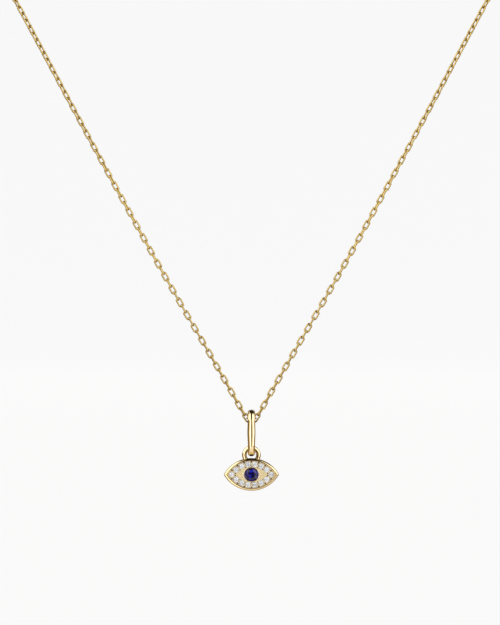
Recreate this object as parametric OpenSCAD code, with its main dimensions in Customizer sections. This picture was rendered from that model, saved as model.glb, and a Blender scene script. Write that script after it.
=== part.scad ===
// Evil eye pendant on a fine cable chain, worn at the neck.
// Origin at the nape, where the clasp rests. +Z up, -Y to the front, millimetres.

/* [Eye] */
// Width of the eye from tip to tip
eye_w = 10.1; // [9.6:0.1:12]
// Height of the eye, lid to lid
eye_h = 5.95; // [5.9:0.05:6.6]
// Depth of the setting, front to back
eye_t = 1.7; // [1.6:0.1:2.2]
// Width of the polished rim
rim_w = 0.43; // [0.3:0.01:0.45]
// How far the stone field lies below the rim
field_drop = 0.25; // [0.15:0.05:0.4]
// How much the sharp corner of each tip is cut back
tip_blunt = 0.06; // [0.03:0.01:0.15]
// Thickness of the thin collar round the centre stone
collar_wall = 0.12; // [0.08:0.01:0.14]
// Distance from the centre to a corner of the collar
collar_reach = 1.85; // [1.75:0.05:2.1]

/* [Stones] */
// Diameter of the centre stone
iris_d = 2.45; // [2.2:0.05:2.5]
// Diameter of each small stone
stone_d = 0.98; // [0.85:0.01:1]
// Small stones along each lid, between the two tip stones
lid_stones = 6; // [5:1:6]
// Distance that the tip stones are set in from the corner of the field
tip_set_in = 0.2; // [0.15:0.05:0.3]
// Diameter of the small beads that hold the small stones
bead_d = 0.24; // [0.18:0.01:0.28]
// Diameter of the beads in the collar's corners and at the tips
corner_bead_d = 0.3; // [0.2:0.02:0.34]

/* [Hanging loop] */
// Diameter of the hole in the loop
loop_hole_d = 1.76; // [1.7:0.02:2.1]
// Thickness of the loop's wire
loop_wire_d = 0.85; // [0.7:0.05:0.95]
// Distance from the loop's centre down to the top of the eye
loop_sink = 0.61; // [0.57:0.02:0.75]
// How far the eye stands forward of its loop, so that it hangs plumb
eye_forward = 0.07; // [0:0.01:0.15]

/* [Bail] */
// Height of the bail outside
bail_h = 8.65; // [7:0.05:12]
// Depth of the bail outside, front to back
bail_depth = 4.4; // [4.3:0.1:6]
// Width of the bail's wire, seen from the front
bail_wire_w = 1.3; // [1.1:0.05:1.35]
// Thickness of the bail's wire, outside to inside
bail_wire_t = 1; // [0.8:0.05:1.05]

/* [Chain] */
// Outer width of a link
link_w = 0.94; // [0.92:0.01:1.05]
// Outer length of a link
link_l = 1.94; // [1.85:0.01:2.2]
// Diameter of a link's wire
link_wire = 0.24; // [0.2:0.01:0.24]
// Links in each arm of the front V
arm_links = 66; // [40:1:70]
// Turn of the top link about its length, against the lowest one
link_roll = 34; // [0:1:60]

/* [Clasp] */
// Length of the clasp's barrel
clasp_l = 6; // [4:0.5:9]
// Diameter of the clasp's barrel
clasp_d = 2; // [1.6:0.1:3]
// Outer diameter of the rings at the clasp's ends
clasp_ring_d = 1.7; // [1.5:0.1:2.2]
// Thickness of the rings at the clasp's ends
clasp_ring_wire = 0.4; // [0.3:0.05:0.45]

/* [Clearances] */
// Gap between two links that pull on each other
link_gap = 0.1; // [0.1:0.01:0.14]
// Gap between the bail and the links that it rests on
bail_seat_gap = 0.22; // [0.15:0.01:0.4]
// Gap between the loop and the bail that it hangs on
loop_seat_gap = 0.08; // [0.06:0.01:0.12]
// Gap round each stone in its seat
stone_gap = 0.03; // [0.02:0.01:0.04]
// Gap where the back chain meets its neighbours
join_gap = 0.1; // [0.08:0.01:0.2]

/* [Hidden] */
$fn = 48;
LENS_FN = 240;
TUBE_SIDES = 8;
TUBE_RINGS = 39;
CURVE_STEPS = 10;
CUT_CLEAR = 1;

// Whole stones along a lid, and in the whole ring with the two at the tips
lid_count = round(lid_stones);
stone_count = 2 * lid_count + 2;
function two_digits(n) = n < 10 ? str("0", n) : str(n);
function stone_name(i) = str("pave_stone_", two_digits(i + 1));

// Route of the chain's centre line, from the lowest link up one side to the nape.
// The other side is its mirror image.
hang_y = -88;
route = [
    [0.75, hang_y, -110.15],
    [1.5, hang_y, -109],
    [2.85, hang_y, -106.6],
    [8.1, hang_y, -97.4],
    [13.5, hang_y, -88.1],
    [18.7, hang_y, -78.9],
    [23.8, hang_y, -69.6],
    [28.8, hang_y, -60.4],
    [33.8, hang_y, -51.1],
    [38.7, hang_y, -41.9],
    [43.7, hang_y, -32.6],
    [48.3, -86, -24],
    [52.7, -79, -16],
    [55.6, -70, -10],
    [57, -59, -6],
    [56.5, -48, -3.5],
    [54, -37, -2],
    [49.5, -27, -1],
    [42.5, -17.5, -0.5],
    [33.5, -10, 0],
    [22, -4, 0],
    [12, -0.6, 0],
    [5, 0.8, 0],
    [0, 1, 0]
];

// The middle link lies level, a little above the start of the route
MIDDLE_RISE = 0.15;
hang_z = route[0].z + MIDDLE_RISE;

function unit(v) = v / norm(v);
function last(list) = list[len(list) - 1];

// A smooth curve through the route's points, and the place at a distance s along it
function near(list, i) = list[max(0, min(len(list) - 1, i))];
function blend(a, b, c, d, t) =
    0.5 * (2 * b + (c - a) * t + (2 * a - 5 * b + 4 * c - d) * t * t + (3 * b - a - 3 * c + d) * t * t * t);
curve = concat(
    [for (i = [0 : len(route) - 2], k = [0 : CURVE_STEPS - 1])
        blend(near(route, i - 1), route[i], route[i + 1], near(route, i + 2), k / CURVE_STEPS)],
    [last(route)]
);
runs = [for (i = 0, s = 0; i < len(curve);
    s = s + (i + 1 < len(curve) ? norm(curve[i + 1] - curve[i]) : 0), i = i + 1) s];
curve_l = last(runs);
function span_at(s, lo, hi) =
    hi - lo <= 1 ? lo : let (mid = floor((lo + hi) / 2)) runs[mid] > s ? span_at(s, lo, mid) : span_at(s, mid, hi);
function at(s) =
    let (i = span_at(s, 0, len(curve) - 1))
    curve[i] + (curve[i + 1] - curve[i]) * (s - runs[i]) / (runs[i + 1] - runs[i]);

// Chain
link_pitch = link_l - 2 * link_wire - link_gap;
link_overhang = (link_l - link_pitch) / 2;
link_bow_r = (link_w - link_wire) / 2;
link_side_l = link_l - link_w;
CROSS_TURN = 90;
side_link_dir = unit(at(link_pitch) - at(0));

// Clasp, with its rings sunk a little into the barrel's ends
RING_SINK_SHARE = 0.7;
clasp_ring_x = clasp_l / 2 + clasp_ring_d / 2 - clasp_ring_wire * RING_SINK_SHARE;
clasp_reach = clasp_ring_x + clasp_ring_d / 2;

// Bail, seated in the V of the two lowest side links
bail_core = (bail_wire_w - bail_wire_t) / 2;
seat_normal_x = side_link_dir.z;
seat_reach = bail_core * seat_normal_x + bail_wire_t / 2 + link_w / 2 + bail_seat_gap;
seat_by_sides = route[0].z + (seat_reach - seat_normal_x * route[0].x) / side_link_dir.x;
seat_by_middle = hang_z + (link_wire + bail_wire_t) / 2 + bail_seat_gap;
bail_top = max(seat_by_sides, seat_by_middle) + bail_wire_t / 2;
bail_bow_r = (bail_depth - bail_wire_t) / 2;
bail_leg_l = bail_h - bail_depth;
bail_bow_z = bail_top - bail_depth / 2;
bail_foot_z = bail_top - bail_h + bail_wire_t / 2;

// Loop and eye, hung on the foot of the bail
loop_r = (loop_hole_d + loop_wire_d) / 2;
loop_play = (loop_hole_d - bail_wire_t) / 2 - loop_seat_gap;
loop_z = bail_foot_z - sqrt(pow(loop_play, 2) - pow(bail_core, 2));
eye_z = loop_z - loop_sink - eye_h / 2;

// Outline of the eye: two arcs that meet in the tips
function arc_r(half_w, half_h) = (half_w * half_w + half_h * half_h) / (2 * half_h);
lid_r = arc_r(eye_w / 2 + tip_blunt, eye_h / 2);
lid_drop = lid_r - eye_h / 2;
front = eye_t / 2;
field = front - field_drop;

// Ring of small stones, numbered from one tip over the upper lid and back along the lower one
FIELD_MARGIN = 0.1;
ring_inset = rim_w + stone_gap + FIELD_MARGIN + stone_d / 2;
ring_half_h = eye_h / 2 - ring_inset;
ring_half_w = sqrt(pow(lid_r - ring_inset, 2) - pow(lid_drop, 2)) - tip_set_in;
ring_r = arc_r(ring_half_w, ring_half_h);
ring_turn = asin(ring_half_w / ring_r);
ring_step = 2 * ring_turn / (lid_count + 1);
function lid_point(turn, offset) =
    [(ring_r + offset) * sin(turn), (ring_r + offset) * cos(turn) + ring_half_h - ring_r];
function ring_point(step, offset = 0) =
    let (lid = floor(step / (lid_count + 1)), k = step - lid * (lid_count + 1))
    lid % 2 == 0 ? lid_point(k * ring_step - ring_turn, offset) : -lid_point(k * ring_step - ring_turn, offset);

// Beads stand between neighbouring stones, as near the row as the stones' gap lets them
bead_from_stone = stone_d / 2 + stone_gap + bead_d / 2;
half_chord = ring_r * sin(ring_step / 2);
bead_aside = sqrt(max(0, pow(bead_from_stone, 2) - pow(half_chord, 2)));
bead_bow = ring_r * (1 - cos(ring_step / 2));

// Proportions of a round brilliant, as shares of its diameter
TABLE_SHARE = 0.56;
CROWN_SHARE = 0.15;
STAR_SHARE = 0.78;
GIRDLE_SHARE = 0.05;
PAVILION_SHARE = 0.43;
HOLE_SHARE = 0.76;
SIDES = 8;

GIRDLE_DROP = 0.02;
RECESS_DROP = 0.05;
stone_girdle = field - GIRDLE_DROP;
recess_floor = field - RECESS_DROP;

function ring_of(r, z, count, turn = 0) =
    [for (k = [0 : count - 1]) [r * cos(turn + k * 360 / count), r * sin(turn + k * 360 / count), z]];

// A round brilliant with its table to +Z: 8 star, 8 kite and 16 upper facets, a girdle at z = 0 and a pavilion
module cut_stone(d) {
    r = d / 2;
    star_r = r * STAR_SHARE;
    star_z = d * CROWN_SHARE * (1 - star_r * cos(180 / SIDES) / r) / (1 - TABLE_SHARE);
    points = concat(
        ring_of(r * TABLE_SHARE, d * CROWN_SHARE, SIDES),
        ring_of(star_r, star_z, SIDES, 180 / SIDES),
        ring_of(r, 0, 2 * SIDES),
        ring_of(r, -d * GIRDLE_SHARE, 2 * SIDES),
        [[0, 0, -d * (GIRDLE_SHARE + PAVILION_SHARE)]]
    );
    function star(k) = SIDES + (k + SIDES) % SIDES;
    function upper(k) = 2 * SIDES + k % (2 * SIDES);
    function lower(k) = 4 * SIDES + k % (2 * SIDES);
    faces = concat(
        [[for (k = [SIDES - 1 : -1 : 0]) k]],
        [for (k = [0 : SIDES - 1]) [k, (k + 1) % SIDES, star(k)]],
        [for (k = [0 : SIDES - 1]) [k, star(k), upper(2 * k), star(k - 1)]],
        [for (k = [0 : SIDES - 1]) [star(k), upper(2 * k + 1), upper(2 * k)]],
        [for (k = [0 : SIDES - 1]) [star(k), upper(2 * k + 2), upper(2 * k + 1)]],
        [for (k = [0 : 2 * SIDES - 1]) [upper(k), upper(k + 1), lower(k + 1), lower(k)]],
        [for (k = [0 : 2 * SIDES - 1]) [lower(k), lower(k + 1), 6 * SIDES]]
    );
    polyhedron(points, faces);
}

// What is drawn face up stands in the eye's place, with +Z turned to the front
module in_eye() {
    translate([0, hang_y - eye_forward, eye_z]) rotate([90, 0, 0]) children();
}

// Two arcs with the lids' centres, set in from the outline
module lids(inset) {
    intersection() {
        translate([0, -lid_drop]) circle(lid_r - inset, $fn = LENS_FN);
        translate([0, lid_drop]) circle(lid_r - inset, $fn = LENS_FN);
    }
}

module almond(half_w, half_h) {
    r = arc_r(half_w, half_h);
    intersection() {
        translate([0, half_h - r]) circle(r, $fn = LENS_FN);
        translate([0, r - half_h]) circle(r, $fn = LENS_FN);
    }
}

// Seat of a stone: a round pocket with a ledge under the girdle, and a hole for light through to the back
module seat(d, girdle) {
    ledge = girdle - d * (GIRDLE_SHARE + PAVILION_SHARE * (1 - HOLE_SHARE)) - stone_gap;
    translate([0, 0, ledge]) cylinder(d = d + 2 * stone_gap, h = front - ledge + CUT_CLEAR);
    translate([0, 0, -front - CUT_CLEAR]) cylinder(d = d * HOLE_SHARE, h = eye_t + CUT_CLEAR);
}

// How far the recess is set in from the collar's outline, at its corners and sides, as shares of the wall
COLLAR_POINT = 1.5;
COLLAR_SIDE = 1.4;
collar_half_h = iris_d / 2 + stone_gap + collar_wall;

module setting_blank() {
    difference() {
        translate([0, 0, -front]) linear_extrude(eye_t) intersection() {
            lids(0);
            circle(eye_w / 2, $fn = LENS_FN);
        }
        translate([0, 0, field]) linear_extrude(field_drop + CUT_CLEAR) difference() {
            lids(rim_w);
            almond(collar_reach, collar_half_h);
        }
        translate([0, 0, recess_floor]) linear_extrude(front - recess_floor + CUT_CLEAR)
            almond(collar_reach - COLLAR_POINT * collar_wall, collar_half_h - COLLAR_SIDE * collar_wall);
    }
}

module loop() {
    translate([0, eye_h / 2 + loop_sink, -eye_forward])
        rotate_extrude() translate([loop_r, 0]) circle(d = loop_wire_d);
}

module beads() {
    for (i = [0 : stone_count - 1]) {
        for (offset = [bead_aside - bead_bow, -bead_aside - bead_bow]) {
            translate(concat(ring_point(i + 0.5, offset), [field])) sphere(d = bead_d);
        }
    }
    for (side = [-1, 1]) {
        iris_x = iris_d / 2 + stone_gap + corner_bead_d / 2;
        tip_x = ring_half_w + stone_d / 2 + stone_gap + corner_bead_d / 2;
        translate([side * iris_x, 0, field]) sphere(d = corner_bead_d);
        translate([side * tip_x, 0, field]) sphere(d = corner_bead_d);
    }
}

module eye_frame() {
    color("gold") in_eye() {
        difference() {
            union() {
                setting_blank();
                loop();
            }
            seat(iris_d, field);
            for (i = [0 : stone_count - 1]) {
                translate(ring_point(i)) seat(stone_d, stone_girdle);
            }
        }
        beads();
    }
}

module sapphire() {
    color("mediumblue") in_eye() translate([0, 0, field]) cut_stone(iris_d);
}

module pave_stone(i) {
    color("white") in_eye() translate(concat(ring_point(i), [stone_girdle])) cut_stone(stone_d);
}

// Section of the bail's wire: flat in the middle, round at both edges
module bail_section() {
    square([bail_wire_t, 2 * bail_core], center = true);
    for (side = [-1, 1]) {
        translate([0, side * bail_core]) circle(d = bail_wire_t);
    }
}

module bail_bow() {
    rotate([90, 0, 90]) rotate_extrude(angle = 180) translate([bail_bow_r, 0]) bail_section();
}

module bail() {
    color("gold") translate([0, hang_y, bail_bow_z]) {
        bail_bow();
        translate([0, 0, -bail_leg_l]) mirror([0, 0, 1]) bail_bow();
        for (side = [-1, 1]) {
            translate([0, side * bail_bow_r, -bail_leg_l]) rotate([0, 0, 90])
                linear_extrude(bail_leg_l) bail_section();
        }
    }
}

// A link lies flat, with its length along X
module link() {
    for (turn = [0, 180]) {
        rotate([0, 0, turn]) {
            translate([link_side_l / 2, 0, 0]) rotate([0, 0, -90])
                rotate_extrude(angle = 180) translate([link_bow_r, 0]) circle(d = link_wire);
            translate([-link_side_l / 2, link_bow_r, 0]) rotate([0, 90, 0])
                cylinder(d = link_wire, h = link_side_l);
        }
    }
}

module link_between(a, b, roll) {
    d = unit(b - a);
    translate((a + b) / 2) rotate([0, -asin(d.z), atan2(d.y, d.x)]) rotate([roll, 0, 0]) link();
}

// The links face the front and the side by turns
module arm() {
    for (i = [0 : arm_links - 1]) {
        roll = CROSS_TURN * (1 - i % 2) + link_roll * i / arm_links;
        link_between(at(i * link_pitch), at((i + 1) * link_pitch), roll);
    }
}

module chain_front() {
    color("gold") {
        translate([0, hang_y, hang_z]) link();
        arm();
        mirror([1, 0, 0]) arm();
    }
}

// The tube's direction at a ring is taken between two places, this far before it and after it
TUBE_LOOK = 0.2;
module tube(start, end) {
    step = (end - start) / (TUBE_RINGS - 1);
    points = [for (k = [0 : TUBE_RINGS - 1])
        let (s = start + k * step, ahead = unit(at(min(s + TUBE_LOOK, end)) - at(max(s - TUBE_LOOK, start))))
        let (across = unit(cross(ahead, [0, 0, 1])), up = cross(across, ahead))
        for (j = [0 : TUBE_SIDES - 1])
            at(s) + (across * cos(j * 360 / TUBE_SIDES) + up * sin(j * 360 / TUBE_SIDES)) * link_w / 2];
    faces = concat(
        [[for (j = [0 : TUBE_SIDES - 1]) j]],
        [for (k = [0 : TUBE_RINGS - 2], j = [0 : TUBE_SIDES - 1])
            let (a = k * TUBE_SIDES + j, b = k * TUBE_SIDES + (j + 1) % TUBE_SIDES)
            [a, a + TUBE_SIDES, b + TUBE_SIDES, b]],
        [[for (j = [TUBE_SIDES - 1 : -1 : 0]) (TUBE_RINGS - 1) * TUBE_SIDES + j]]
    );
    polyhedron(points, faces);
}

module chain_back() {
    start = arm_links * link_pitch + link_overhang + join_gap;
    color("gold") for (side = [0, 1]) {
        mirror([side, 0, 0]) tube(start, curve_l - clasp_reach - join_gap);
    }
}

module clasp() {
    color("gold") translate([0, clasp_d / 2, 0]) {
        rotate([0, 90, 0]) rotate_extrude() intersection() {
            translate([0, -clasp_l / 2]) square([clasp_d / 2, clasp_l]);
            circle(d = clasp_l);
        }
        for (side = [-1, 1]) {
            translate([side * clasp_ring_x, 0, 0]) rotate([90, 0, 0]) rotate_extrude()
                translate([(clasp_ring_d - clasp_ring_wire) / 2, 0]) circle(d = clasp_ring_wire);
        }
    }
}

chain_front();
chain_back();
clasp();
bail();
eye_frame();
sapphire();
for (i = [0 : stone_count - 1]) {
    pave_stone(i);
}
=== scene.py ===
"""An eye pendant on a fine cable chain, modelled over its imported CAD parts."""

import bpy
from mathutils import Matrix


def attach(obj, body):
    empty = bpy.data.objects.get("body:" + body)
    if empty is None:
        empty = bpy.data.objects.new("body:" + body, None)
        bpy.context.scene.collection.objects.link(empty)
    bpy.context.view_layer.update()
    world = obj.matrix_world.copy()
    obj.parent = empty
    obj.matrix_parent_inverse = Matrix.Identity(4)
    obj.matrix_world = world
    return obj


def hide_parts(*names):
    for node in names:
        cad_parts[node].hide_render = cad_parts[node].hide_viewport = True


bl_info = {
    "name": "Eye Pendant Necklace",
    "version": (1, 0, 0),
    "blender": (4, 5, 0),
    "location": "3D View > Sidebar > Pendant",
    "description": "Models a cable chain, a bail and a stone-set eye pendant over their CAD parts",
    "category": "Add Mesh",
}

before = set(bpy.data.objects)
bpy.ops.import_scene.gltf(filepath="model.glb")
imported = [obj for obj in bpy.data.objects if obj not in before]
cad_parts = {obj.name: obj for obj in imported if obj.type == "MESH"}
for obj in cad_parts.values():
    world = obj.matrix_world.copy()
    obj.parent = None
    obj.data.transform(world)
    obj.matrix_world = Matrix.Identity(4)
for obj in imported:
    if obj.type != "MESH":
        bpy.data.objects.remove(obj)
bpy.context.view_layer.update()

from math import asin, cos, floor, pi, radians, sin, sqrt, tan

import bmesh
import bpy
from bpy.props import FloatProperty, FloatVectorProperty, IntProperty, PointerProperty
from bpy.types import Operator, Panel, PropertyGroup
from mathutils import Matrix, Vector

# Pieces are shaped in millimetres and brought down to metres when they are put in place
MM = 0.001

# The chain's centre line from the lowest link up the right side to the nape, in metres
ROUTE = [
    (0.00075, -0.088, -0.11015),
    (0.0015, -0.088, -0.109),
    (0.00285, -0.088, -0.1066),
    (0.0081, -0.088, -0.0974),
    (0.0135, -0.088, -0.0881),
    (0.0187, -0.088, -0.0789),
    (0.0238, -0.088, -0.0696),
    (0.0288, -0.088, -0.0604),
    (0.0338, -0.088, -0.0511),
    (0.0387, -0.088, -0.0419),
    (0.0437, -0.088, -0.0326),
    (0.0483, -0.086, -0.024),
    (0.0527, -0.079, -0.016),
    (0.0556, -0.070, -0.010),
    (0.057, -0.059, -0.006),
    (0.0565, -0.048, -0.0035),
    (0.054, -0.037, -0.002),
    (0.0495, -0.027, -0.001),
    (0.0425, -0.0175, -0.0005),
    (0.0335, -0.010, 0.0),
    (0.022, -0.004, 0.0),
    (0.012, -0.0006, 0.0),
    (0.005, 0.0008, 0.0),
    (0.0, 0.001, 0.0),
]
# Steps of the smooth curve from one point of the route to the next
CURVE_STEPS = 10

# Where the pieces hang, in metres; the eye lies a little in front of the V's plane
PLUMB_Y = -0.088
MIDDLE_LINK_Z = -0.110
BAIL_TOP_Z = -0.108392
LOOP_Z = -0.116802
EYE_Z = -0.120387
EYE_FORWARD = 0.00007
CLASP_Y = 0.001

ORIGIN = (0, 0, 0)


# Settings

def number(name, description, default, **options):
    return FloatProperty(name=name, description=description, default=default, **options)


def length(name, description, default):
    return number(name, description, default, min=0, unit="LENGTH", precision=6)


def count(name, description, default, **options):
    return IntProperty(name=name, description=description, default=default, **options)


def colour(name, description, default):
    return FloatVectorProperty(
        name=name, description=description, default=default, size=3, min=0, max=1,
        subtype="COLOR")


class PENDANT_PG_chain(PropertyGroup):
    """Sizes and colour of the cable chain"""

    link_length: length("Link Length", "Outer length of a link", 0.00204)
    link_width: length("Link Width", "Outer width of a link", 0.00114)
    wire: length("Wire", "Thickness of a link's wire", 0.00033)
    pitch: length("Pitch", "Distance from one link to the next", 0.001367)
    slack: length("Slack", "How far each arm's first link lies behind the route's start", 0.00037)
    front_links: count("Front Links", "Links in each arm of the front V", 66, min=1)
    back_links: count("Back Links", "Links from the V to the clasp, each side", 98, min=1)
    low_roll: number(
        "Low Roll", "Turn of the links about the chain at the foot of the V", radians(-17),
        subtype="ANGLE")
    roll: number(
        "Roll", "Turn of the links about the chain at the top of the V", radians(50),
        subtype="ANGLE")
    gold: colour("Chain Gold", "Colour of the chain", (0.53, 0.39, 0.14))


class PENDANT_PG_clasp(PropertyGroup):
    """Sizes of the hidden clasp"""

    barrel_length: length("Barrel Length", "Length of the barrel", 0.006)
    barrel_width: length("Barrel Width", "Diameter of the barrel", 0.002)
    ring_width: length("Ring Width", "Outer diameter of the end rings", 0.0017)
    ring_wire: length("Ring Wire", "Thickness of the end rings", 0.0004)


class PENDANT_PG_bail(PropertyGroup):
    """Sizes of the bail"""

    height: length("Height", "Outer height of the bail", 0.00865)
    depth: length("Depth", "Outer depth of the bail", 0.0044)
    wire_width: length("Wire Width", "Width of the wire seen from the front", 0.0015)
    wire_thickness: length("Wire Thickness", "Thickness of the wire, outside to inside", 0.001)
    head_share: number("Head Share", "Width of the top against the middle", 0.91, min=0.5, max=1)
    foot_share: number("Foot Share", "Width of the foot against the middle", 0.86, min=0.5, max=1)


class PENDANT_PG_eye(PropertyGroup):
    """Sizes and colours of the eye's setting"""

    width: length("Width", "Width of the eye from tip to tip", 0.0101)
    height: length("Height", "Height of the eye", 0.00595)
    depth: length("Depth", "Depth of the setting, front to back", 0.0017)
    rim: length("Rim", "Width of the polished rim", 0.00043)
    tip_blunt: length("Tip Blunt", "How much the sharp corner of each tip is cut back", 0.00006)
    field_drop: length("Field Drop", "How far the field of stones lies below the rim", 0.00025)
    collar_reach: length("Collar Reach", "From the centre to a corner of the collar", 0.00185)
    collar_wall: length("Collar Wall", "Thickness of the collar", 0.00012)
    loop_hole: length("Loop Hole", "Diameter of the hole in the hanging loop", 0.00176)
    loop_wire: length("Loop Wire", "Thickness of the hanging loop", 0.00085)
    gold: colour("Polished Gold", "Colour of the polished gold", (0.78, 0.61, 0.34))
    satin: colour(
        "Satin Gold", "Colour of the satin plates beside the centre stone", (0.74, 0.62, 0.36))
    # Painted highlight: a near-white colour for the cut walls and floors round the stones, standing
    # in for the light they reflect
    bright: colour(
        "Painted Highlight Cut", "Colour of the bright cuts round the small stones", (0.95, 0.93, 0.86))


class PENDANT_PG_stones(PropertyGroup):
    """Sizes and colours of the stones"""

    centre_width: length("Centre Stone", "Diameter of the centre stone", 0.00245)
    small_width: length("Small Stones", "Diameter of each small stone", 0.00098)
    lid_stones: count(
        "Lid Stones", "Small stones along each lid, between the two tips", 6, min=5, max=6)
    gap: length("Gap", "Gap round each stone", 0.00003)
    blue: colour("Blue", "Colour of the centre stone", (0.01, 0.015, 0.38))
    white: colour("White", "Colour of the small stones", (0.95, 0.96, 0.99))


class PENDANT_PG_stage(PropertyGroup):
    """Paper, lights and camera"""

    floor_drop: length("Floor Drop", "How far the floor lies below the nape", 0.17)
    paper: colour("Paper", "Colour of the paper bowl round the necklace", (0.06, 0.06, 0.06))
    paper_glow: number(
        "Paper Glow", "Light that the paper gives by itself", 0.849, min=0, subtype="FACTOR")
    key_power: number(
        "Key Power", "Power of the large soft light on the left", 0.6, min=0, unit="POWER")
    surround: number(
        "Surround", "Brightness of the studio round the necklace", 1.0, min=0, subtype="FACTOR")
    lens: number("Lens", "Focal length of the camera", 150.0, min=20, unit="CAMERA")


def own_settings(group):
    """Names of the settings in a property group"""
    return [name for name in group.bl_rna.properties.keys() if name not in ("rna_type", "name")]


class Sizes:
    """The settings of a property group, with its lengths in millimetres"""

    def __init__(self, group):
        for name in own_settings(group):
            value = getattr(group, name)
            unit = getattr(group.bl_rna.properties[name], "unit", "NONE")
            setattr(self, name, value / MM if unit == "LENGTH" else value)


# Selecting and editing

def nothing_selected():
    if bpy.context.object and bpy.context.object.mode != "OBJECT":
        bpy.ops.object.mode_set(mode="OBJECT")
    bpy.ops.object.select_all(action="DESELECT")


def make_active(obj, *others):
    nothing_selected()
    for each in (obj, *others):
        each.select_set(True)
    bpy.context.view_layer.objects.active = obj


def edit(obj):
    make_active(obj)
    bpy.ops.object.mode_set(mode="EDIT")


def close_edit():
    bpy.ops.object.mode_set(mode="OBJECT")


def select_all():
    bpy.ops.mesh.select_all(action="SELECT")


def pick(kind, test):
    """Selects the vertices, edges or faces of the mesh in edit mode that pass the test"""
    bpy.ops.mesh.select_mode(type=kind)
    bpy.ops.mesh.select_all(action="DESELECT")
    mesh = bmesh.from_edit_mesh(bpy.context.edit_object.data)
    for item in {"VERT": mesh.verts, "EDGE": mesh.edges, "FACE": mesh.faces}[kind]:
        if test(item):
            item.select_set(True)
    mesh.select_flush_mode()
    bmesh.update_edit_mesh(bpy.context.edit_object.data)


def middle(item):
    """Middle of an edge or a face"""
    return sum((v.co for v in item.verts), Vector()) / len(item.verts)


def move(x=0.0, y=0.0, z=0.0):
    bpy.ops.transform.translate(value=(x, y, z))


def rotate(angle, axis="Z", centre=ORIGIN):
    bpy.ops.transform.rotate(value=angle, orient_axis=axis, center_override=centre)


def widen(x, y=1.0, **options):
    bpy.ops.transform.resize(value=(x, y, 1), center_override=ORIGIN, **options)


def slice_all(point, normal, **options):
    """Cuts the whole mesh in edit mode along a plane"""
    select_all()
    bpy.ops.mesh.bisect(plane_co=point, plane_no=normal, **options)


def thicken(rise):
    """Raises the selected flat face into a closed solid, and ends the edit"""
    bpy.ops.mesh.extrude_region_move(TRANSFORM_OT_translate={"value": (0, 0, rise)})
    select_all()
    bpy.ops.mesh.normals_make_consistent(inside=False)
    close_edit()


def give_material(slot, test):
    """Gives the faces that pass the test another of the piece's materials"""
    pick("FACE", test)
    bpy.context.object.active_material_index = slot
    bpy.ops.object.material_slot_assign()


def dressed(obj, *materials):
    for material in materials:
        obj.data.materials.append(material)
    return obj


def join(obj, *others):
    make_active(obj, *others)
    bpy.ops.object.join()
    return obj


def cut_away(obj, cutters):
    """Takes the cutters' shapes out of a piece"""
    make_active(obj)
    modifier = obj.modifiers.new("Boolean", "BOOLEAN")
    modifier.operation = "DIFFERENCE"
    modifier.solver = "EXACT"
    modifier.use_self = True
    modifier.object = cutters
    bpy.ops.object.modifier_apply(modifier=modifier.name)
    bpy.data.objects.remove(cutters)


def put(obj, place, turn=ORIGIN):
    """Sets a piece shaped in millimetres in its place, with its object left at the origin"""
    make_active(obj)
    obj.rotation_euler = turn
    obj.location = place
    obj.scale = (MM,) * 3
    bpy.ops.object.transform_apply(location=True, rotation=True, scale=True)


def finished(obj, name, body, replaces, material=None, sharp=35):
    """Names a piece, smooths it, gives it its material and ties it to its CAD body"""
    make_active(obj)
    bpy.ops.object.shade_smooth_by_angle(angle=radians(sharp))
    obj.name = obj.data.name = name
    if material:
        dressed(obj, material)
    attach(obj, body)
    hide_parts(*replaces)
    nothing_selected()


# Chain route

def blend(a, b, c, d, t):
    """A point on the smooth curve from b to c"""
    return 0.5 * (
        2 * b + (c - a) * t + (2 * a - 5 * b + 4 * c - d) * t * t
        + (3 * b - a - 3 * c + d) * t * t * t)


def route_curve():
    """Points close together along the route, and how far along it each one lies"""
    points = [Vector(p) for p in ROUTE]

    def near(i):
        return points[max(0, min(len(points) - 1, i))]

    curve = [blend(near(i - 1), near(i), near(i + 1), near(i + 2), k / CURVE_STEPS)
             for i in range(len(points) - 1) for k in range(CURVE_STEPS)] + [points[-1]]
    runs = [0.0]
    for a, b in zip(curve, curve[1:]):
        runs.append(runs[-1] + (b - a).length)
    return curve, runs


def along(curve, runs, s):
    """The point that lies a run s along the route"""
    i = 0
    while i < len(runs) - 2 and runs[i + 1] <= s:
        i += 1
    return curve[i].lerp(curve[i + 1], (s - runs[i]) / (runs[i + 1] - runs[i]))


def link_place(a, b, roll, side):
    """Place of a link between two points of the route, on the right (1) or the left (-1)"""
    ahead = (b - a).normalized()
    middle_point = (a + b) / 2
    ahead.x *= side
    middle_point.x *= side
    across = Vector((-ahead.y, ahead.x, 0)).normalized()
    up = ahead.cross(across)
    turn = Matrix((ahead, across, up)).transposed().to_4x4()
    return Matrix.Translation(middle_point) @ turn @ Matrix.Rotation(roll * side, 4, "X")


def link_pair(route, start, end, roll):
    """Places of a link on the right and of its twin on the left"""
    a, b = along(*route, start), along(*route, end)
    return [link_place(a, b, roll, side) for side in (1, -1)]


def quarter_turn(i):
    """Each link stands a quarter turn from the one before"""
    return pi / 2 * (1 - i % 2)


# Materials

# Scales of the gold's patches of tint, of its polish and of its grain
TINT_SCALE = 900.0
POLISH_SCALE = 2600.0
GRAIN_SCALE = 9000.0
# Scales of the cells of painted light and shade that stand for the stones' facets
WHITE_FACETS = 3600.0
BLUE_FACETS = 2400.0


def new_material(name):
    material = bpy.data.materials.new(name)
    material.use_nodes = True
    tree = material.node_tree
    shader = tree.nodes["Principled BSDF"]
    place = tree.nodes.new("ShaderNodeTexCoord").outputs["Object"]
    return material, tree, shader, place


def noise(tree, place, scale, detail=2.0):
    texture = tree.nodes.new("ShaderNodeTexNoise")
    texture.inputs["Scale"].default_value = scale
    texture.inputs["Detail"].default_value = detail
    tree.links.new(place, texture.inputs["Vector"])
    return texture.outputs["Fac"]


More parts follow.
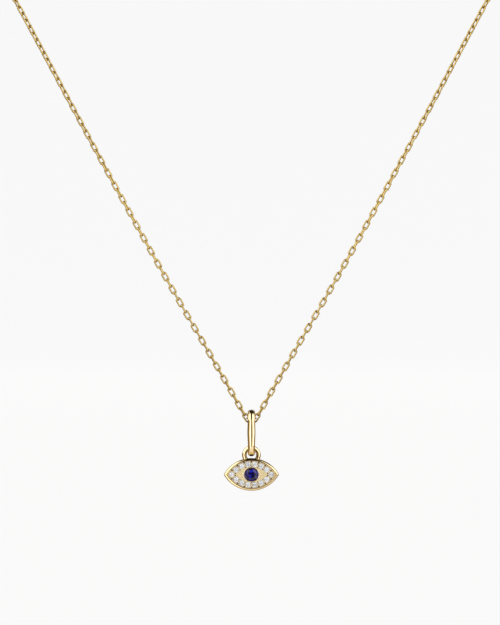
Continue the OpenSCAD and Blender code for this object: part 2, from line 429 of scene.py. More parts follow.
def facets(tree, place, scale):
    """A value that jumps from one small cell to the next, as the light in a cut stone does"""
    texture = tree.nodes.new("ShaderNodeTexVoronoi")
    texture.inputs["Scale"].default_value = scale
    tree.links.new(place, texture.inputs["Vector"])
    return texture.outputs["Color"]


def maths(tree, operation, *values):
    node = tree.nodes.new("ShaderNodeMath")
    node.operation = operation
    for socket, value in zip(node.inputs, values):
        if isinstance(value, float):
            socket.default_value = value
        else:
            tree.links.new(value, socket)
    return node.outputs[0]


def between(tree, value, low, high, from_low=0.3, from_high=0.7):
    """A value that follows another one between two limits"""
    node = tree.nodes.new("ShaderNodeMapRange")
    node.inputs["From Min"].default_value = from_low
    node.inputs["From Max"].default_value = from_high
    node.inputs["To Min"].default_value = low
    node.inputs["To Max"].default_value = high
    tree.links.new(value, node.inputs["Value"])
    return node.outputs["Result"]


def banded(tree, value, bands):
    """Tones at places from 0 to 1 along a value"""
    ramp = tree.nodes.new("ShaderNodeValToRGB")
    stops = ramp.color_ramp.elements
    for k, (place, tone) in enumerate(bands):
        stop = stops[k] if k < 2 else stops.new(place)
        stop.position = place
        stop.color = (tone, tone, tone, 1) if isinstance(tone, float) else (*tone, 1)
    tree.links.new(value, ramp.inputs["Fac"])
    return ramp.outputs["Color"]


def tinted(tree, value, low, high, start=0.3, end=0.7):
    """A colour that follows a value between two tints"""
    return banded(tree, value, ((start, low), (end, high)))


def bumped(tree, shader, value, depth):
    bump = tree.nodes.new("ShaderNodeBump")
    bump.inputs["Distance"].default_value = depth
    bump.inputs["Strength"].default_value = 1.0
    tree.links.new(value, bump.inputs["Height"])
    tree.links.new(bump.outputs["Normal"], shader.inputs["Normal"])


def gold(name, tint, rough=(0.05, 0.11), grain=0.0000015, grain_scale=GRAIN_SCALE, metallic=1.0):
    """Gold with faint patches of tint and polish, and a fine grain"""
    material, tree, shader, place = new_material(name)
    shader.inputs["Metallic"].default_value = metallic
    tint = Vector(tint)
    pale = [min(1, c * 1.05) for c in tint]
    patches = noise(tree, place, TINT_SCALE)
    tree.links.new(tinted(tree, patches, tint * 0.93, pale), shader.inputs["Base Color"])
    polish = noise(tree, place, POLISH_SCALE, 3.0)
    tree.links.new(between(tree, polish, *rough), shader.inputs["Roughness"])
    bumped(tree, shader, noise(tree, place, grain_scale, 3.0), grain)
    return material


def polished_gold(context):
    known = bpy.data.materials.get("polished gold")
    return known or gold("polished gold", context.scene.pendant_eye.gold)


def chain_gold(context):
    """The chain's gold, with painted shade that makes it a little darker towards the bail"""
    known = bpy.data.materials.get("chain gold")
    if known:
        return known
    material = gold("chain gold", context.scene.pendant_chain.gold, rough=(0.1, 0.2))
    tree = material.node_tree
    tint = tree.nodes["Principled BSDF"].inputs["Base Color"]
    apart = tree.nodes.new("ShaderNodeSeparateXYZ")
    tree.links.new(tree.nodes["Texture Coordinate"].outputs["Object"], apart.inputs[0])
    shaded = tree.nodes.new("ShaderNodeVectorMath")
    shaded.operation = "SCALE"
    tree.links.new(tint.links[0].from_socket, shaded.inputs[0])
    # Painted shade: the colour drops to 0.9 of itself towards the foot of the V
    shade = between(tree, apart.outputs["Z"], 0.9, 1.0, from_low=-0.1, from_high=-0.07)
    tree.links.new(shade, shaded.inputs["Scale"])
    tree.links.new(shaded.outputs[0], tint)
    return material


def white_stone(stones):
    """Clear glass with painted light and shade: darker and brighter small cells stand for the
    facets' reflections
    """
    material, tree, shader, place = new_material("white stone")
    shader.inputs["Transmission Weight"].default_value = 1.0
    shader.inputs["IOR"].default_value = 2.1
    shader.inputs["Roughness"].default_value = 0.0
    white = Vector(stones.white)
    # Painted light and shade: the colour jumps between darker and full white from cell to cell
    light = tinted(tree, facets(tree, place, WHITE_FACETS), white * 0.38, white, 0.25, 0.34)
    tree.links.new(light, shader.inputs["Base Color"])
    return material


def blue_stone(stones):
    """Deep blue glass with painted light and shade: a painted bright reflection in a painted dark
    middle and a painted violet reflection in a ring round it
    """
    material, tree, shader, place = new_material("blue stone")
    shader.inputs["Transmission Weight"].default_value = 0.15
    shader.inputs["IOR"].default_value = 1.77
    shader.inputs["Specular IOR Level"].default_value = 0.15
    shader.inputs["Roughness"].default_value = 0.0
    # Height counts for less than width, which makes the patch taller than wide
    tall = 0.65
    centred = tree.nodes.new("ShaderNodeMapping")
    centred.inputs["Location"].default_value = (0, 0, -EYE_Z * tall)
    centred.inputs["Scale"].default_value = (1, 0, tall)
    tree.links.new(place, centred.inputs["Vector"])
    away = tree.nodes.new("ShaderNodeVectorMath")
    away.operation = "LENGTH"
    tree.links.new(centred.outputs["Vector"], away.inputs[0])
    # The facet cells shift the painted bands in and out, which breaks them up
    shift = 0.0011
    ripple = maths(tree, "MULTIPLY_ADD", facets(tree, place, BLUE_FACETS), shift, -shift / 2)
    distance = maths(tree, "ADD", away.outputs["Value"], ripple)
    share = maths(tree, "DIVIDE", distance, stones.centre_width / 2)
    blue = Vector(stones.blue)
    dark = blue * 0.05
    violet = blue * 0.5 + Vector((0.045, 0.025, 0.08))
    # Painted light and shade: the bright blue patch and the violet ring stand for reflections, the
    # dark bands for shade
    bands = (
        (0.0, blue), (0.14, blue), (0.3, dark), (0.52, dark), (0.68, violet), (0.9, violet),
        (1.0, dark),
    )
    tree.links.new(banded(tree, share, bands), shader.inputs["Base Color"])
    return material


# Shapes, in millimetres

def wire_ring(radius, wire, segments, sides, x=0.0, y=0.0, z=0.0, turn=ORIGIN):
    bpy.ops.mesh.primitive_torus_add(
        major_segments=segments, minor_segments=sides, major_radius=radius, minor_radius=wire / 2,
        location=(x, y, z), rotation=turn)
    ring = bpy.context.object
    bpy.ops.object.transform_apply(location=True, rotation=True, scale=True)
    return ring


def arc_radius(half_width, half_height):
    return (half_width ** 2 + half_height ** 2) / (2 * half_height)


def edge_inset(p, half_width, half_height):
    """How far a point lies inside the lens outline"""
    radius = arc_radius(half_width, half_height)
    return radius - sqrt(p.x ** 2 + (abs(p.y) + radius - half_height) ** 2)


def inside_lens(half_width, half_height, inset):
    """Half width and half height of the lens that lies a step inside another"""
    radius = arc_radius(half_width, half_height)
    return sqrt((radius - inset) ** 2 - (radius - half_height) ** 2), half_height - inset


def close_lens():
    """Keeps what lies over the middle line, and adds a copy of it turned to lie under the line"""
    slice_all(ORIGIN, (0, 1, 0), clear_inner=True)
    select_all()
    bpy.ops.mesh.duplicate()
    rotate(pi)
    select_all()
    bpy.ops.mesh.remove_doubles(threshold=0.001)


def lens_face(half_width, half_height, segments=180):
    """A flat face between two arcs that meet in two tips, left in edit mode and selected"""
    radius = arc_radius(half_width, half_height)
    nothing_selected()
    bpy.ops.mesh.primitive_circle_add(
        vertices=segments, radius=radius, location=(0, half_height - radius, 0))
    obj = bpy.context.object
    bpy.ops.object.transform_apply(location=True)
    edit(obj)
    close_lens()
    select_all()
    bpy.ops.mesh.edge_face_add()
    pick("FACE", lambda f: True)
    return obj


def lens_band(half_width, half_height, wall, low, high, slopes, back_round, blunt, steps=60):
    """A wall along both arcs of a lens, mitred at the tips

    Each of the slopes cut over its front has a start, from the outside, and a tilt in degrees.
    The starts and the rounding of the back are shares of the wall.
    """
    radius = arc_radius(half_width, half_height)
    bpy.ops.mesh.primitive_plane_add(size=1, rotation=(0, pi / 2, 0))
    band = bpy.context.object
    band.scale = (high - low, wall, 1)
    bpy.ops.object.transform_apply(rotation=True, scale=True)
    edit(band)
    y, z, tilt = -wall / 2, (high - low) / 2, 0
    for start, degrees in slopes:
        z -= (wall / 2 - wall * start - y) * tan(tilt)
        y, tilt = wall / 2 - wall * start, radians(degrees)
        slice_all((0, y, z), (0, sin(tilt), cos(tilt)), clear_outer=True)
    pick("VERT", lambda v: v.co.z > 0)
    bpy.ops.mesh.bevel(affect="VERTICES", offset=wall * 0.08, segments=2)
    pick("VERT", lambda v: v.co.y > 0 and v.co.z < 0)
    bpy.ops.mesh.bevel(affect="VERTICES", offset=wall * back_round, segments=6)
    select_all()
    move(y=half_height - wall / 2, z=(low + high) / 2)
    # The wall runs a little past the tips, and is cut off at the middle line
    centre = (0, half_height - radius, 0)
    half_turn = asin(half_width / radius) + 0.06
    rotate(-half_turn, centre=centre)
    bpy.ops.mesh.spin(steps=steps, angle=2 * half_turn, center=centre, axis=(0, 0, 1))
    close_lens()
    bpy.ops.mesh.normals_make_consistent(inside=False)
    # Three cuts round off each tip
    tip_angle = pi / 2 - asin(half_width / radius)
    tip_radius = blunt * cos(tip_angle) / (1 - cos(tip_angle))
    for side in (-1, 1):
        for turn in (-tip_angle / 2, 0, tip_angle / 2):
            towards = Vector((side * cos(turn), sin(turn), 0))
            tip_middle = Vector((side * (half_width - blunt - tip_radius), 0, 0))
            slice_all(tip_middle + towards * tip_radius, towards, clear_outer=True, use_fill=True)
    close_edit()
    return band


# Front and back chain

def link_shape(chain):
    """One link of a few dozen faces, lying flat with its length along X"""
    nothing_selected()
    bow = (chain.link_width - chain.wire) / 2
    side = chain.link_length - chain.link_width
    segments = 12
    link = wire_ring(bow, chain.wire, segments, 8)
    edit(link)
    select_all()
    rotate(pi / segments)
    for sign in (1, -1):
        pick("VERT", lambda v: v.co.x * sign > 0)
        move(x=sign * side / 2)
    # The bows are a little square at their shoulders
    start, end = side / 2 + bow * 0.45, side / 2 + bow * 0.95
    pick("VERT", lambda v: start < abs(v.co.x) < end and abs(v.co.y) > bow * 0.4)
    widen(1.03, 1.06)
    close_edit()
    return link


def lay_links(context, chain, places, name, node):
    """Makes a piece with a link at each place"""
    link = link_shape(chain)
    copies = []
    for place in places:
        copy = bpy.data.objects.new("link", link.data.copy())
        copy.data.transform(place @ Matrix.Scale(MM, 4))
        bpy.context.collection.objects.link(copy)
        copies.append(copy)
    bpy.data.objects.remove(link)
    finished(join(*copies), name, "necklace", [node], chain_gold(context), sharp=50)


class PENDANT_OT_front_chain(Operator):
    """Models the V of links that the bail hangs on"""

    bl_idname = "pendant.front_chain"
    bl_label = "Front Chain"

    def execute(self, context):
        chain = Sizes(context.scene.pendant_chain)
        pitch = chain.pitch * MM
        route = route_curve()
        places = [Matrix.Translation((0, PLUMB_Y, MIDDLE_LINK_Z))]
        for i in range(chain.front_links):
            start = i * pitch - chain.slack * MM
            roll = quarter_turn(i) + chain.low_roll \
                + (chain.roll - chain.low_roll) * i / chain.front_links
            places += link_pair(route, start, start + pitch, roll)
        lay_links(context, chain, places, "front_links", "chain_front")
        return {"FINISHED"}


class PENDANT_OT_back_chain(Operator):
    """Models the hidden links round the neck, up to the clasp's rings"""

    bl_idname = "pendant.back_chain"
    bl_label = "Back Chain"

    def execute(self, context):
        chain = Sizes(context.scene.pendant_chain)
        clasp = Sizes(context.scene.pendant_clasp)
        route = route_curve()
        start = (chain.front_links * chain.pitch - chain.slack) * MM
        # The last link hooks into the clasp's ring, with its wire against the ring's wire
        ring_wire_x = clasp_ring_x(clasp) + (clasp.ring_width - clasp.ring_wire) / 2
        last_wire_x = ring_wire_x - (clasp.ring_wire + chain.wire) / 2
        last_middle = route[1][-1] - (last_wire_x + (chain.link_length - chain.wire) / 2) * MM
        pitch = (last_middle - start) / (chain.back_links - 0.5)
        places = []
        for i in range(chain.back_links):
            roll = quarter_turn(i + chain.front_links) \
                + chain.roll * (1 - (i + 1) / chain.back_links)
            places += link_pair(route, start + i * pitch, start + (i + 1) * pitch, roll)
        lay_links(context, chain, places, "back_links", "chain_back")
        return {"FINISHED"}


# Clasp

# How deep the end rings sink into the barrel, as a share of their wire
RING_SUNK = 0.7
# Edges of the groove at each end of the barrel, as shares of the way from its middle
GROOVE_EDGES = (0.5, 0.62)
# Slope and depth of the groove and rounding of the barrel's ends, in millimetres
GROOVE_SLOPE = 0.03
GROOVE_DEPTH = 0.07
BARREL_ROUND = 0.2


def clasp_ring_x(clasp):
    return clasp.barrel_length / 2 + clasp.ring_width / 2 - clasp.ring_wire * RING_SUNK


class PENDANT_OT_clasp(Operator):
    """Models the hidden clasp: a barrel with two grooves and a ring at each end"""

    bl_idname = "pendant.clasp"
    bl_label = "Clasp"

    def execute(self, context):
        clasp = Sizes(context.scene.pendant_clasp)
        nothing_selected()
        half = clasp.barrel_length / 2
        bpy.ops.mesh.primitive_cylinder_add(
            vertices=48, radius=clasp.barrel_width / 2, depth=clasp.barrel_length,
            rotation=(0, pi / 2, 0))
        barrel = bpy.context.object
        bpy.ops.object.transform_apply(rotation=True)
        edit(barrel)
        near, far = GROOVE_EDGES
        for share in (-far, -near, near, far):
            slice_all((share * half, 0, 0), (1, 0, 0))
        for side in (-1, 1):
            groove_x = side * (near + far) / 2 * half
            pick("FACE", lambda f: abs(f.normal.x) < 0.5
                 and abs(middle(f).x - groove_x) < 0.05 * half)
            bpy.ops.mesh.inset(thickness=GROOVE_SLOPE, depth=-GROOVE_DEPTH, use_boundary=True)
        pick("EDGE", lambda e: min(abs(v.co.x) for v in e.verts) > half - 0.001)
        bpy.ops.mesh.bevel(offset=BARREL_ROUND, segments=5)
        close_edit()
        rings = [wire_ring((clasp.ring_width - clasp.ring_wire) / 2, clasp.ring_wire, 40, 14,
                           x=side * clasp_ring_x(clasp), turn=(pi / 2, 0, 0)) for side in (-1, 1)]
        join(barrel, *rings)
        put(barrel, (0, CLASP_Y, 0))
        finished(barrel, "barrel_clasp", "necklace", ["clasp"],
                 polished_gold(context))
        return {"FINISHED"}


# Bail

# Cuts across the bail's legs, and how far the narrowing of its ends reaches, in millimetres
LEG_CUTS = 14
NARROWING_REACH = 3.0


class PENDANT_OT_bail(Operator):
    """Models the long bail: a ring of flattened wire, widest in the middle"""

    bl_idname = "pendant.bail"
    bl_label = "Bail"

    def execute(self, context):
        bail = Sizes(context.scene.pendant_bail)
        nothing_selected()
        thick = bail.wire_thickness
        bow = (bail.depth - thick) / 2
        leg = bail.height - bail.depth
        segments = 72
        ring = wire_ring(bow, thick, segments, 40, turn=(0, pi / 2, 0))
        edit(ring)
        select_all()
        rotate(pi / segments, "X")
        widen(bail.wire_width / thick)
        for sign in (1, -1):
            pick("VERT", lambda v: v.co.z * sign > 0)
            move(z=sign * leg / 2)
        for k in range(LEG_CUTS):
            slice_all((0, 0, leg * ((k + 0.5) / LEG_CUTS - 0.5)), (0, 0, 1))
        for side, share in ((1, bail.head_share), (-1, bail.foot_share)):
            pick("VERT", lambda v: v.co.z * side > bail.height / 2 - bow)
            widen(share, use_proportional_edit=True, proportional_edit_falloff="SMOOTH",
                  proportional_size=NARROWING_REACH)
        close_edit()
        put(ring, (0, PLUMB_Y, BAIL_TOP_Z - bail.height / 2 * MM))
        finished(ring, "bail_ring", "bail", ["bail"], polished_gold(context),
                 sharp=180)
        return {"FINISHED"}


# Setting of the eye, in millimetres

# Wall between the rim and the small stones, and the step in from it at the two end stones
STONE_WALL = 0.1
END_STEP = 0.2
# How far the plate's back lies in from the rim's, and how deep raised parts are rooted in it
BACK_STEP = 0.1
ROOT = 0.1
# The satin plates: height over the field, gap to the end stones, and reach into the row
PLATE_RISE = 0.04
PLATE_GAP = 0.1
PLATE_REACH = 0.02
# Depths under the field, the recess being the one round the centre stone's seat
CELL_DEPTH = 0.16
NOTCH_DEPTH = 0.25
SEAT_DEPTH = 0.36
RECESS_DEPTH = 0.12
# Rounding of a cell's corners
CELL_ROUND = 0.22
# Drilled notches between the small stones: step out from the row's middle line, and radius
NOTCHES = ((0.46, 0.15), (-0.43, 0.1))
# Width of the dark gap round the centre stone
SEAT_PLAY = 0.08
# How far the recess stays inside the collar's corners, and how far it passes the seat
RECESS_STEP = 0.16
RECESS_PLAY = 0.01
# Radius of the bores behind the stones, as shares of the stones' widths
SMALL_BORE = 0.36
CENTRE_BORE = 0.38
# How far the cutters reach out of the plate, and how much of its back stays plain gold
OVERCUT = 0.5
PLAIN_BACK = 0.3
# How close a face lies to a level to count as part of it
LEVEL_PLAY = 0.002
# Cuts over the fronts of rim and collar, and rounding of their backs, as lens_band takes them
RIM_SLOPES = ((1.0, 14), (0.42, 52))
RIM_BACK = 0.47
COLLAR_SLOPES = ((1.0, 20), (0.5, 50))
COLLAR_BACK = 0.1
# Beads between the small stones: width, height over the field, and steps from the row's line
BEAD_WIDTH = 0.24
BEAD_RISE = 0.02
BEAD_STEPS = (0.145, -0.23)
# Beads in the corners: width, step from the stone, and depth of those beside the centre stone
CORNER_BEAD = 0.3
CORNER_STEP = 0.18
CORNER_DEPTH = 0.08
# Depth of the groove round the front of the hanging loop
LOOP_GROOVE = 0.13
# Places in the plate's list of materials, after the field's gold: satin, painted highlight and
# shaded gold
SATIN, PAINTED_HIGHLIGHT, SHADE = 1, 2, 3
# Place of the painted shadow in the rim's and the loop's materials
PAINTED_SHADOW = 1


class SmallStones:
    """Places of the small stones, from the left tip over the upper lid and back along the lower"""

    def __init__(self, eye, stones):
        radius = arc_radius(eye.width / 2 + eye.tip_blunt, eye.height / 2)
        drop = radius - eye.height / 2
        inset = eye.rim + stones.gap + STONE_WALL + stones.small_width / 2
        self.half_height = eye.height / 2 - inset
        self.half_width = sqrt((radius - inset) ** 2 - drop ** 2) - END_STEP
        self.radius = arc_radius(self.half_width, self.half_height)
        self.lid = stones.lid_stones + 1
        self.step = 2 * asin(self.half_width / self.radius) / self.lid
        self.count = 2 * self.lid

    def place(self, step, offset=0.0):
        """Place in the ring and the turn of the row there"""
        lid = floor(step / self.lid)
        turn = (step - lid * self.lid) * self.step - self.lid * self.step / 2
        x = (self.radius + offset) * sin(turn)
        y = (self.radius + offset) * cos(turn) + self.half_height - self.radius
        sign = 1 if lid % 2 == 0 else -1
        return Vector((sign * x, sign * y, 0)), -turn


def drill(place, radius, low, high, sides=32):
    bpy.ops.mesh.primitive_cylinder_add(
        vertices=sides, radius=radius, depth=high - low,
        location=(place.x, place.y, (low + high) / 2))
    return bpy.context.object


def square_cutter(place, turn, width, low, high):
    bpy.ops.mesh.primitive_cube_add(
        size=1, location=(place.x, place.y, (low + high) / 2), rotation=(0, 0, turn))
    cell = bpy.context.object
    cell.scale = (width, width, high - low)
    bpy.ops.object.transform_apply(location=True, rotation=True, scale=True)
    edit(cell)
    pick("EDGE", lambda e: abs(e.verts[0].co.z - e.verts[1].co.z) > 0.01)
    bpy.ops.mesh.bevel(offset=CELL_ROUND, segments=4)
    close_edit()
    return cell


def setting_plate(eye, stones, ring, materials):
    """The eye's solid plate: a field and satin plates, with cells, notches and a seat cut in"""
    half_width, half_height = eye.width / 2 + eye.tip_blunt, eye.height / 2
    small = stones.small_width / 2
    seat = stones.centre_width / 2 + stones.gap
    front = eye.depth / 2
    field = front - eye.field_drop
    plate = dressed(lens_face(*inside_lens(half_width, half_height, eye.rim / 2)), *materials)
    move(z=-front + BACK_STEP)
    thicken(field + front - BACK_STEP)
    satin_plates = lens_face(
        ring.half_width - small - PLATE_GAP, ring.half_height - small + PLATE_REACH)
    move(z=field - ROOT)
    thicken(ROOT + PLATE_RISE)
    join(plate, satin_plates)

    cell = stones.small_width + 2 * stones.gap
    cell_floor, top, back = field - CELL_DEPTH, front + OVERCUT, -front - OVERCUT
    cutters = []
    notches = []
    for i in range(ring.count):
        place, turn = ring.place(i)
        if i % ring.lid:
            cutters.append(square_cutter(place, turn, cell, cell_floor, top))
        else:
            cutters.append(drill(place, cell / 2, cell_floor, top))
        cutters.append(drill(place, stones.small_width * SMALL_BORE, back, field))
        for offset, radius in NOTCHES:
            notch = ring.place(i + 0.5, offset)[0]
            notches.append((notch, radius))
            cutters.append(drill(notch, radius, field - NOTCH_DEPTH, top, sides=16))
    centre = Vector(ORIGIN)
    cutters.append(drill(centre, seat + SEAT_PLAY, field - SEAT_DEPTH, top, sides=64))
    cutters.append(drill(centre, stones.centre_width * CENTRE_BORE, back, field, sides=48))
    recess = lens_face(eye.collar_reach - RECESS_STEP, seat + RECESS_PLAY, segments=96)
    move(z=field - RECESS_DEPTH)
    thicken(2 * OVERCUT)
    cut_away(plate, join(*cutters, recess))

    def on_satin_plate(face):
        return abs(middle(face).z - field - PLATE_RISE) < LEVEL_PLAY and face.normal.z > 0.9

    def below_field(face):
        return -front + PLAIN_BACK < middle(face).z < field - LEVEL_PLAY

    def inside_rim(face):
        return edge_inset(middle(face), half_width, half_height) > eye.rim

    def in_notch(face):
        return any((middle(face).xy - notch.xy).length < radius * 1.05 for notch, radius in notches)

    def in_seat(face):
        return (middle(face).xy.length < seat + 1.2 * SEAT_PLAY
                and middle(face).z < field - RECESS_DEPTH - 0.01)

    edit(plate)
    give_material(SATIN, on_satin_plate)
    # Painted highlight on the walls and floors cut below the field inside the rim
    give_material(PAINTED_HIGHLIGHT, lambda f: below_field(f) and inside_rim(f))
    give_material(SHADE, lambda f: below_field(f) and in_notch(f) or in_seat(f))
    close_edit()
    return plate


def bead(x, y, z, width):
    bpy.ops.mesh.primitive_uv_sphere_add(
        segments=16, ring_count=8, radius=width / 2, location=(x, y, z))
    bpy.ops.object.transform_apply(location=True)
    return bpy.context.object


def setting_beads(stones, ring, field):
    """Beads between the small stones, in the tips and beside the centre stone"""
    beads = []
    for i in range(ring.count):
        for step in BEAD_STEPS:
            place, _ = ring.place(i + 0.5, step)
            beads.append(bead(place.x, place.y, field + BEAD_RISE, BEAD_WIDTH))
    for side in (-1, 1):
        beside_centre = stones.centre_width / 2 + CORNER_STEP
        beads.append(bead(side * beside_centre, 0, field - CORNER_DEPTH, CORNER_BEAD))
        in_tip = ring.half_width + stones.small_width / 2 + CORNER_STEP
        beads.append(bead(side * in_tip, 0, field + BEAD_RISE, CORNER_BEAD))
    return beads


def eye_rim(eye, front, materials):
    """The rim, with painted shadow where it closes the loop's hole"""
    rim = dressed(
        lens_band(eye.width / 2 + eye.tip_blunt, eye.height / 2, eye.rim, -front, front,
                  RIM_SLOPES, RIM_BACK, eye.tip_blunt), *materials)
    edit(rim)
    give_material(PAINTED_SHADOW, lambda f: abs(middle(f).x) < eye.loop_hole * 0.48 and f.normal.y > 0.6
                  and middle(f).y > eye.height / 2 - eye.rim * 0.5)
    close_edit()
    return rim


def hanging_loop(eye, materials):
    """The loop over the eye, with a groove round its front whose faces carry painted shadow"""
    loop_y = (LOOP_Z - EYE_Z) / MM
    sides = 28
    loop = wire_ring((eye.loop_hole + eye.loop_wire) / 2, eye.loop_wire, 72, sides,
                     y=loop_y, z=-EYE_FORWARD / MM)
    dressed(loop, *materials)
    groove_radius = eye.loop_hole / 2 + eye.loop_wire / 2 * (1 - sin(2 * pi / sides))

    def on_groove_line(vert):
        return abs((vert.co.xy - Vector((0, loop_y))).length - groove_radius) < 0.01

    edit(loop)
    pick("VERT", lambda v: v.co.z > 0 and on_groove_line(v))
    move(z=-LOOP_GROOVE)
    give_material(PAINTED_SHADOW, lambda f: middle(f).z > 0 and any(on_groove_line(v) for v in f.verts))
    close_edit()
    return loop


class PENDANT_OT_setting(Operator):
    """Models the eye's setting with its rim, cells, beads, collar and hanging loop"""

    bl_idname = "pendant.setting"
    bl_label = "Setting"

    def execute(self, context):
        eye = Sizes(context.scene.pendant_eye)
        stones = Sizes(context.scene.pendant_stones)
        ring = SmallStones(eye, stones)
        front = eye.depth / 2
        field = front - eye.field_drop
        seat = stones.centre_width / 2 + stones.gap
        tint = Vector(eye.gold)
        golds = (
            gold("field gold", tint * 0.85, (0.4, 0.5)),
            gold("satin gold", eye.satin, (0.45, 0.58), grain=0.000004, grain_scale=16000.0),
            # Painted highlight: near-white, half-metal gold for the cuts round the stones
            gold("bright cut", eye.bright, (0.3, 0.4), metallic=0.3),
            gold("shaded gold", tint * 0.12, (0.35, 0.5)),
        )
        polished = polished_gold(context)
        # Painted shadow: near-black gold for the rim under the loop and for the loop's groove
        polished_and_shadow = (polished, gold("dark seam", tint * 0.04, (0.4, 0.5)))
        plate = setting_plate(eye, stones, ring, golds)
        rim = eye_rim(eye, front, polished_and_shadow)
        collar = lens_band(eye.collar_reach, seat + eye.collar_wall, eye.collar_wall, field - ROOT,
                           front, COLLAR_SLOPES, COLLAR_BACK, eye.tip_blunt / 4, steps=40)
        beads = setting_beads(stones, ring, field)
        for extra in (collar, *beads):
            dressed(extra, polished)
        loop = hanging_loop(eye, polished_and_shadow)
        join(plate, rim, collar, *beads, loop)
        put(plate, (0, PLUMB_Y - EYE_FORWARD, EYE_Z), (pi / 2, 0, 0))
        finished(plate, "eye_setting", "eye", ["eye_frame"])
        return {"FINISHED"}


# Stones

class PENDANT_OT_stones(Operator):
    """Gives the cut stones their glassy materials"""

    bl_idname = "pendant.stones"
    bl_label = "Stones"

    def execute(self, context):
        stones = context.scene.pendant_stones
        centre, small = blue_stone(stones), white_stone(stones)
        for name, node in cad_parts.items():
            if name == "sapphire" or name.startswith("pave_stone"):
                node.data.materials.clear()
                dressed(node, centre if name == "sapphire" else small)
        return {"FINISHED"}


# Stage

# Paints and light of the studio
BROWN = (0.29, 0.2, 0.09)
UMBER = (0.14, 0.09, 0.05)
BLACK = (0.02, 0.02, 0.02)
WHITE = 2.8
# Tones at the necklace's height, from the back over the left, the front and the right
WALLS = (
    (0.0, BROWN), (0.34, BROWN), (0.38, 0.9), (0.41, 1.9), (0.425, WHITE), (0.465, WHITE),
    (0.48, 0.9), (0.55, 0.8), (0.59, 1.2), (0.61, WHITE), (0.66, WHITE), (0.69, 0.9),
    (0.75, 0.6), (0.84, 0.5), (0.88, BROWN), (1.0, BROWN),
)
# How far the walls hide what is above and below, by height from straight down to straight up
WALL_SHARE = ((0.12, 0.0), (0.34, 1.0), (0.56, 1.0), (0.63, 0.0))
# Tones from the back under the necklace to the front, then over it to the back again
OVERHEAD = (
    (0.0, UMBER), (0.12, UMBER), (0.18, (0.5, 0.42, 0.25)), (0.26, (0.95, 0.87, 0.66)),
    (0.35, 1.2), (0.5, 1.1), (0.57, 2.2), (0.73, 2.4), (0.85, 0.7), (1.0, 0.2),
)
# Flags, each with its colour and its reach from under to over the necklace and from left to
# right: a black one over the back, a narrow one that comes down from it, a dark one in front,
# and brown ones low at both sides
FLAGS = (
    (BLACK,
     ((0.73, 0.0), (0.77, 1.0), (0.885, 1.0), (0.9, 0.0)),
     ((0.27, 0.0), (0.32, 1.0), (0.8, 1.0), (0.87, 0.0))),
    (BLACK,
     ((0.54, 0.0), (0.56, 1.0), (0.76, 1.0), (0.77, 0.0)),
     ((0.34, 0.0), (0.4, 1.0), (0.62, 1.0), (0.67, 0.0))),
    (UMBER,
     ((0.43, 0.0), (0.46, 1.0), (0.56, 1.0), (0.57, 0.0)),
     ((0.41, 0.0), (0.44, 1.0), (0.56, 1.0), (0.61, 0.0))),
    (BROWN,
     ((0.44, 1.0), (0.47, 0.0)),
     ((0.1, 1.0), (0.18, 0.0), (0.82, 0.0), (0.9, 1.0))),
)
# Radius, height and rounding of the paper bowl, in metres
BOWL_RADIUS = 4
BOWL_HEIGHT = 2.5
BOWL_ROUND = 1.2
# Soft lights: name, place, width and height in metres, and share of the key light's power
LIGHTS = (
    ("left light", (-0.45, -0.35, 0.05), (0.35, 0.6), 1.0),
    ("right light", (0.5, -0.1, 0.0), (0.35, 0.5), 0.6),
    ("top light", (0.0, -0.15, 0.5), (0.8, 0.5), 0.8),
)
# Height that the camera takes in at the necklace, and its place, in metres
VIEW_HEIGHT = 0.115625
CAMERA_X = -0.00026
CAMERA_Z = -0.09044
# The camera's sensor, in millimetres
SENSOR = 36


def studio_walls(strength):
    """The studio round the necklace: white screens at the left and right front, darker behind"""
    world = bpy.data.worlds.new("studio walls")
    world.use_nodes = True
    tree = world.node_tree
    towards = tree.nodes.new("ShaderNodeSeparateXYZ")
    tree.links.new(tree.nodes.new("ShaderNodeTexCoord").outputs["Generated"], towards.inputs[0])
    x, y, z = towards.outputs
    ahead = maths(tree, "MULTIPLY", y, -1.0)

    def round_share(side):
        """From 0 to 1 on the way round the necklace"""
        return maths(tree, "MULTIPLY_ADD", maths(tree, "ARCTAN2", side, ahead), 0.5 / pi, 0.5)

    def straight_share(value):
        """From 0 to 1 on the way across it"""
        return maths(tree, "MULTIPLY_ADD", value, 0.5, 0.5)

    def mixed(share, below, above):
        mix = tree.nodes.new("ShaderNodeMix")
        mix.data_type = "RGBA"
        first, second = [socket for socket in mix.inputs if socket.type == "RGBA"]
        for socket, value in ((mix.inputs[0], share), (first, below), (second, above)):
            if isinstance(value, tuple):
                socket.default_value = value
            else:
                tree.links.new(value, socket)
        return [socket for socket in mix.outputs if socket.type == "RGBA"][0]

    over = round_share(z)
    tone = mixed(banded(tree, straight_share(z), WALL_SHARE), banded(tree, over, OVERHEAD),
                 banded(tree, round_share(x), WALLS))
    for paint, up, aside in FLAGS:
        flag = maths(tree, "MULTIPLY", banded(tree, over, up),
                     banded(tree, straight_share(x), aside))
        tone = mixed(flag, tone, (*paint, 1))
    background = tree.nodes["Background"]
    background.inputs["Strength"].default_value = strength
    tree.links.new(tone, background.inputs["Color"])
    return world


def paper_material(stage):
    """Faintly glowing paper"""
    material, tree, shader, place = new_material("paper")
    tone = Vector(stage.paper)
    patches = noise(tree, place, 40.0)
    tree.links.new(tinted(tree, patches, tone * 0.985, tone), shader.inputs["Base Color"])
    shader.inputs["Roughness"].default_value = 0.9
    shader.inputs["Emission Color"].default_value = (1, 1, 1, 1)
    shader.inputs["Emission Strength"].default_value = stage.paper_glow
    return material


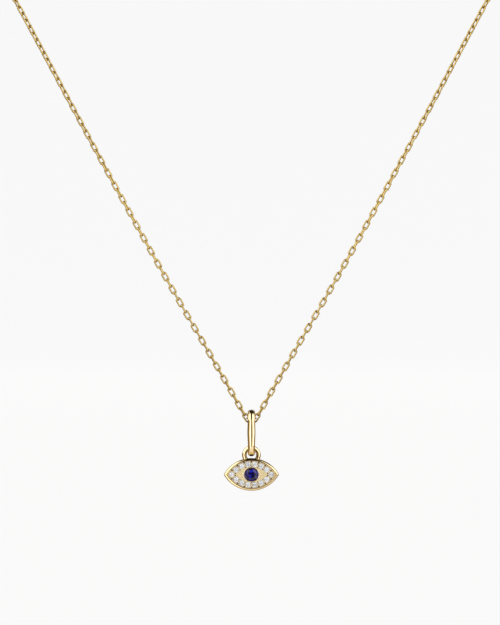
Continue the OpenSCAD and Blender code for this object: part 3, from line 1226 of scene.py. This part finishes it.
def add_light(collection, name, place, size, power):
    """A soft light that shines on the foot of the V and isn't seen in the gold"""
    data = bpy.data.lights.new(name, "AREA")
    data.shape = "RECTANGLE"
    data.size, data.size_y = size
    data.energy = power
    light = bpy.data.objects.new(name, data)
    light.location = place
    towards = Vector((0, PLUMB_Y, MIDDLE_LINK_Z)) - Vector(place)
    light.rotation_euler = towards.to_track_quat("-Z", "Y").to_euler()
    light.visible_glossy = False
    collection.objects.link(light)


def add_camera(scene, lens):
    data = bpy.data.cameras.new("camera")
    data.lens = lens
    data.sensor_width = SENSOR
    data.clip_start, data.clip_end = 0.01, 20
    camera = bpy.data.objects.new("camera", data)
    camera.location = (CAMERA_X, PLUMB_Y - VIEW_HEIGHT / 2 / (SENSOR / 2 / lens), CAMERA_Z)
    camera.rotation_euler = (pi / 2, 0, 0)
    scene.collection.objects.link(camera)
    scene.camera = camera


class PENDANT_OT_stage(Operator):
    """Sets up the paper bowl, the soft lights, the studio walls and the camera"""

    bl_idname = "pendant.stage"
    bl_label = "Stage"

    def execute(self, context):
        scene = context.scene
        stage = scene.pendant_stage
        nothing_selected()
        low = -stage.floor_drop
        bpy.ops.mesh.primitive_circle_add(
            vertices=96, radius=BOWL_RADIUS, fill_type="NGON", location=(0, 0, low))
        paper = bpy.context.object
        bpy.ops.object.transform_apply(location=True)
        edit(paper)
        pick("EDGE", lambda e: True)
        bpy.ops.mesh.extrude_edges_move(TRANSFORM_OT_translate={"value": (0, 0, BOWL_HEIGHT)})
        pick("EDGE", lambda e: len(e.link_faces) == 2
             and all(abs(v.co.z - low) < 0.01 for v in e.verts))
        bpy.ops.mesh.bevel(offset=BOWL_ROUND, segments=16)
        close_edit()
        bpy.ops.object.shade_smooth()
        paper.name = paper.data.name = "paper_sweep"
        dressed(paper, paper_material(stage))
        paper.visible_glossy = False

        for name, place, size, share in LIGHTS:
            add_light(scene.collection, name, place, size, stage.key_power * share)
        scene.world = studio_walls(stage.surround)
        scene.view_settings.view_transform = "Standard"
        add_camera(scene, stage.lens)
        return {"FINISHED"}


# Sidebar

class PENDANT_PT_sidebar(Panel):
    """Lists the pieces of the necklace"""

    bl_idname = "PENDANT_PT_sidebar"
    bl_label = "Pendant"
    bl_space_type = "VIEW_3D"
    bl_region_type = "UI"
    bl_category = "Pendant"

    def draw(self, context):
        for group, (_, *operators) in PIECES.items():
            box = self.layout.box()
            settings = getattr(context.scene, group)
            for name in own_settings(settings):
                box.prop(settings, name)
            for operator in operators:
                box.operator(operator.bl_idname)


# Each group of settings, by its name in the scene, with the operators that use it
PIECES = {
    "pendant_chain": (PENDANT_PG_chain, PENDANT_OT_front_chain, PENDANT_OT_back_chain),
    "pendant_clasp": (PENDANT_PG_clasp, PENDANT_OT_clasp),
    "pendant_bail": (PENDANT_PG_bail, PENDANT_OT_bail),
    "pendant_eye": (PENDANT_PG_eye, PENDANT_OT_setting),
    "pendant_stones": (PENDANT_PG_stones, PENDANT_OT_stones),
    "pendant_stage": (PENDANT_PG_stage, PENDANT_OT_stage),
}
CLASSES = [cls for classes in PIECES.values() for cls in classes] + [PENDANT_PT_sidebar]


def register():
    for cls in CLASSES:
        bpy.utils.register_class(cls)
    for name, (group, *_) in PIECES.items():
        setattr(bpy.types.Scene, name, PointerProperty(type=group))


def unregister():
    for name in PIECES:
        delattr(bpy.types.Scene, name)
    for cls in reversed(CLASSES):
        bpy.utils.unregister_class(cls)


def main():
    register()
    bpy.ops.pendant.front_chain()
    bpy.ops.pendant.back_chain()
    bpy.ops.pendant.clasp()
    bpy.ops.pendant.bail()
    bpy.ops.pendant.setting()
    bpy.ops.pendant.stones()
    bpy.ops.pendant.stage()


if __name__ == "__main__":
    main()
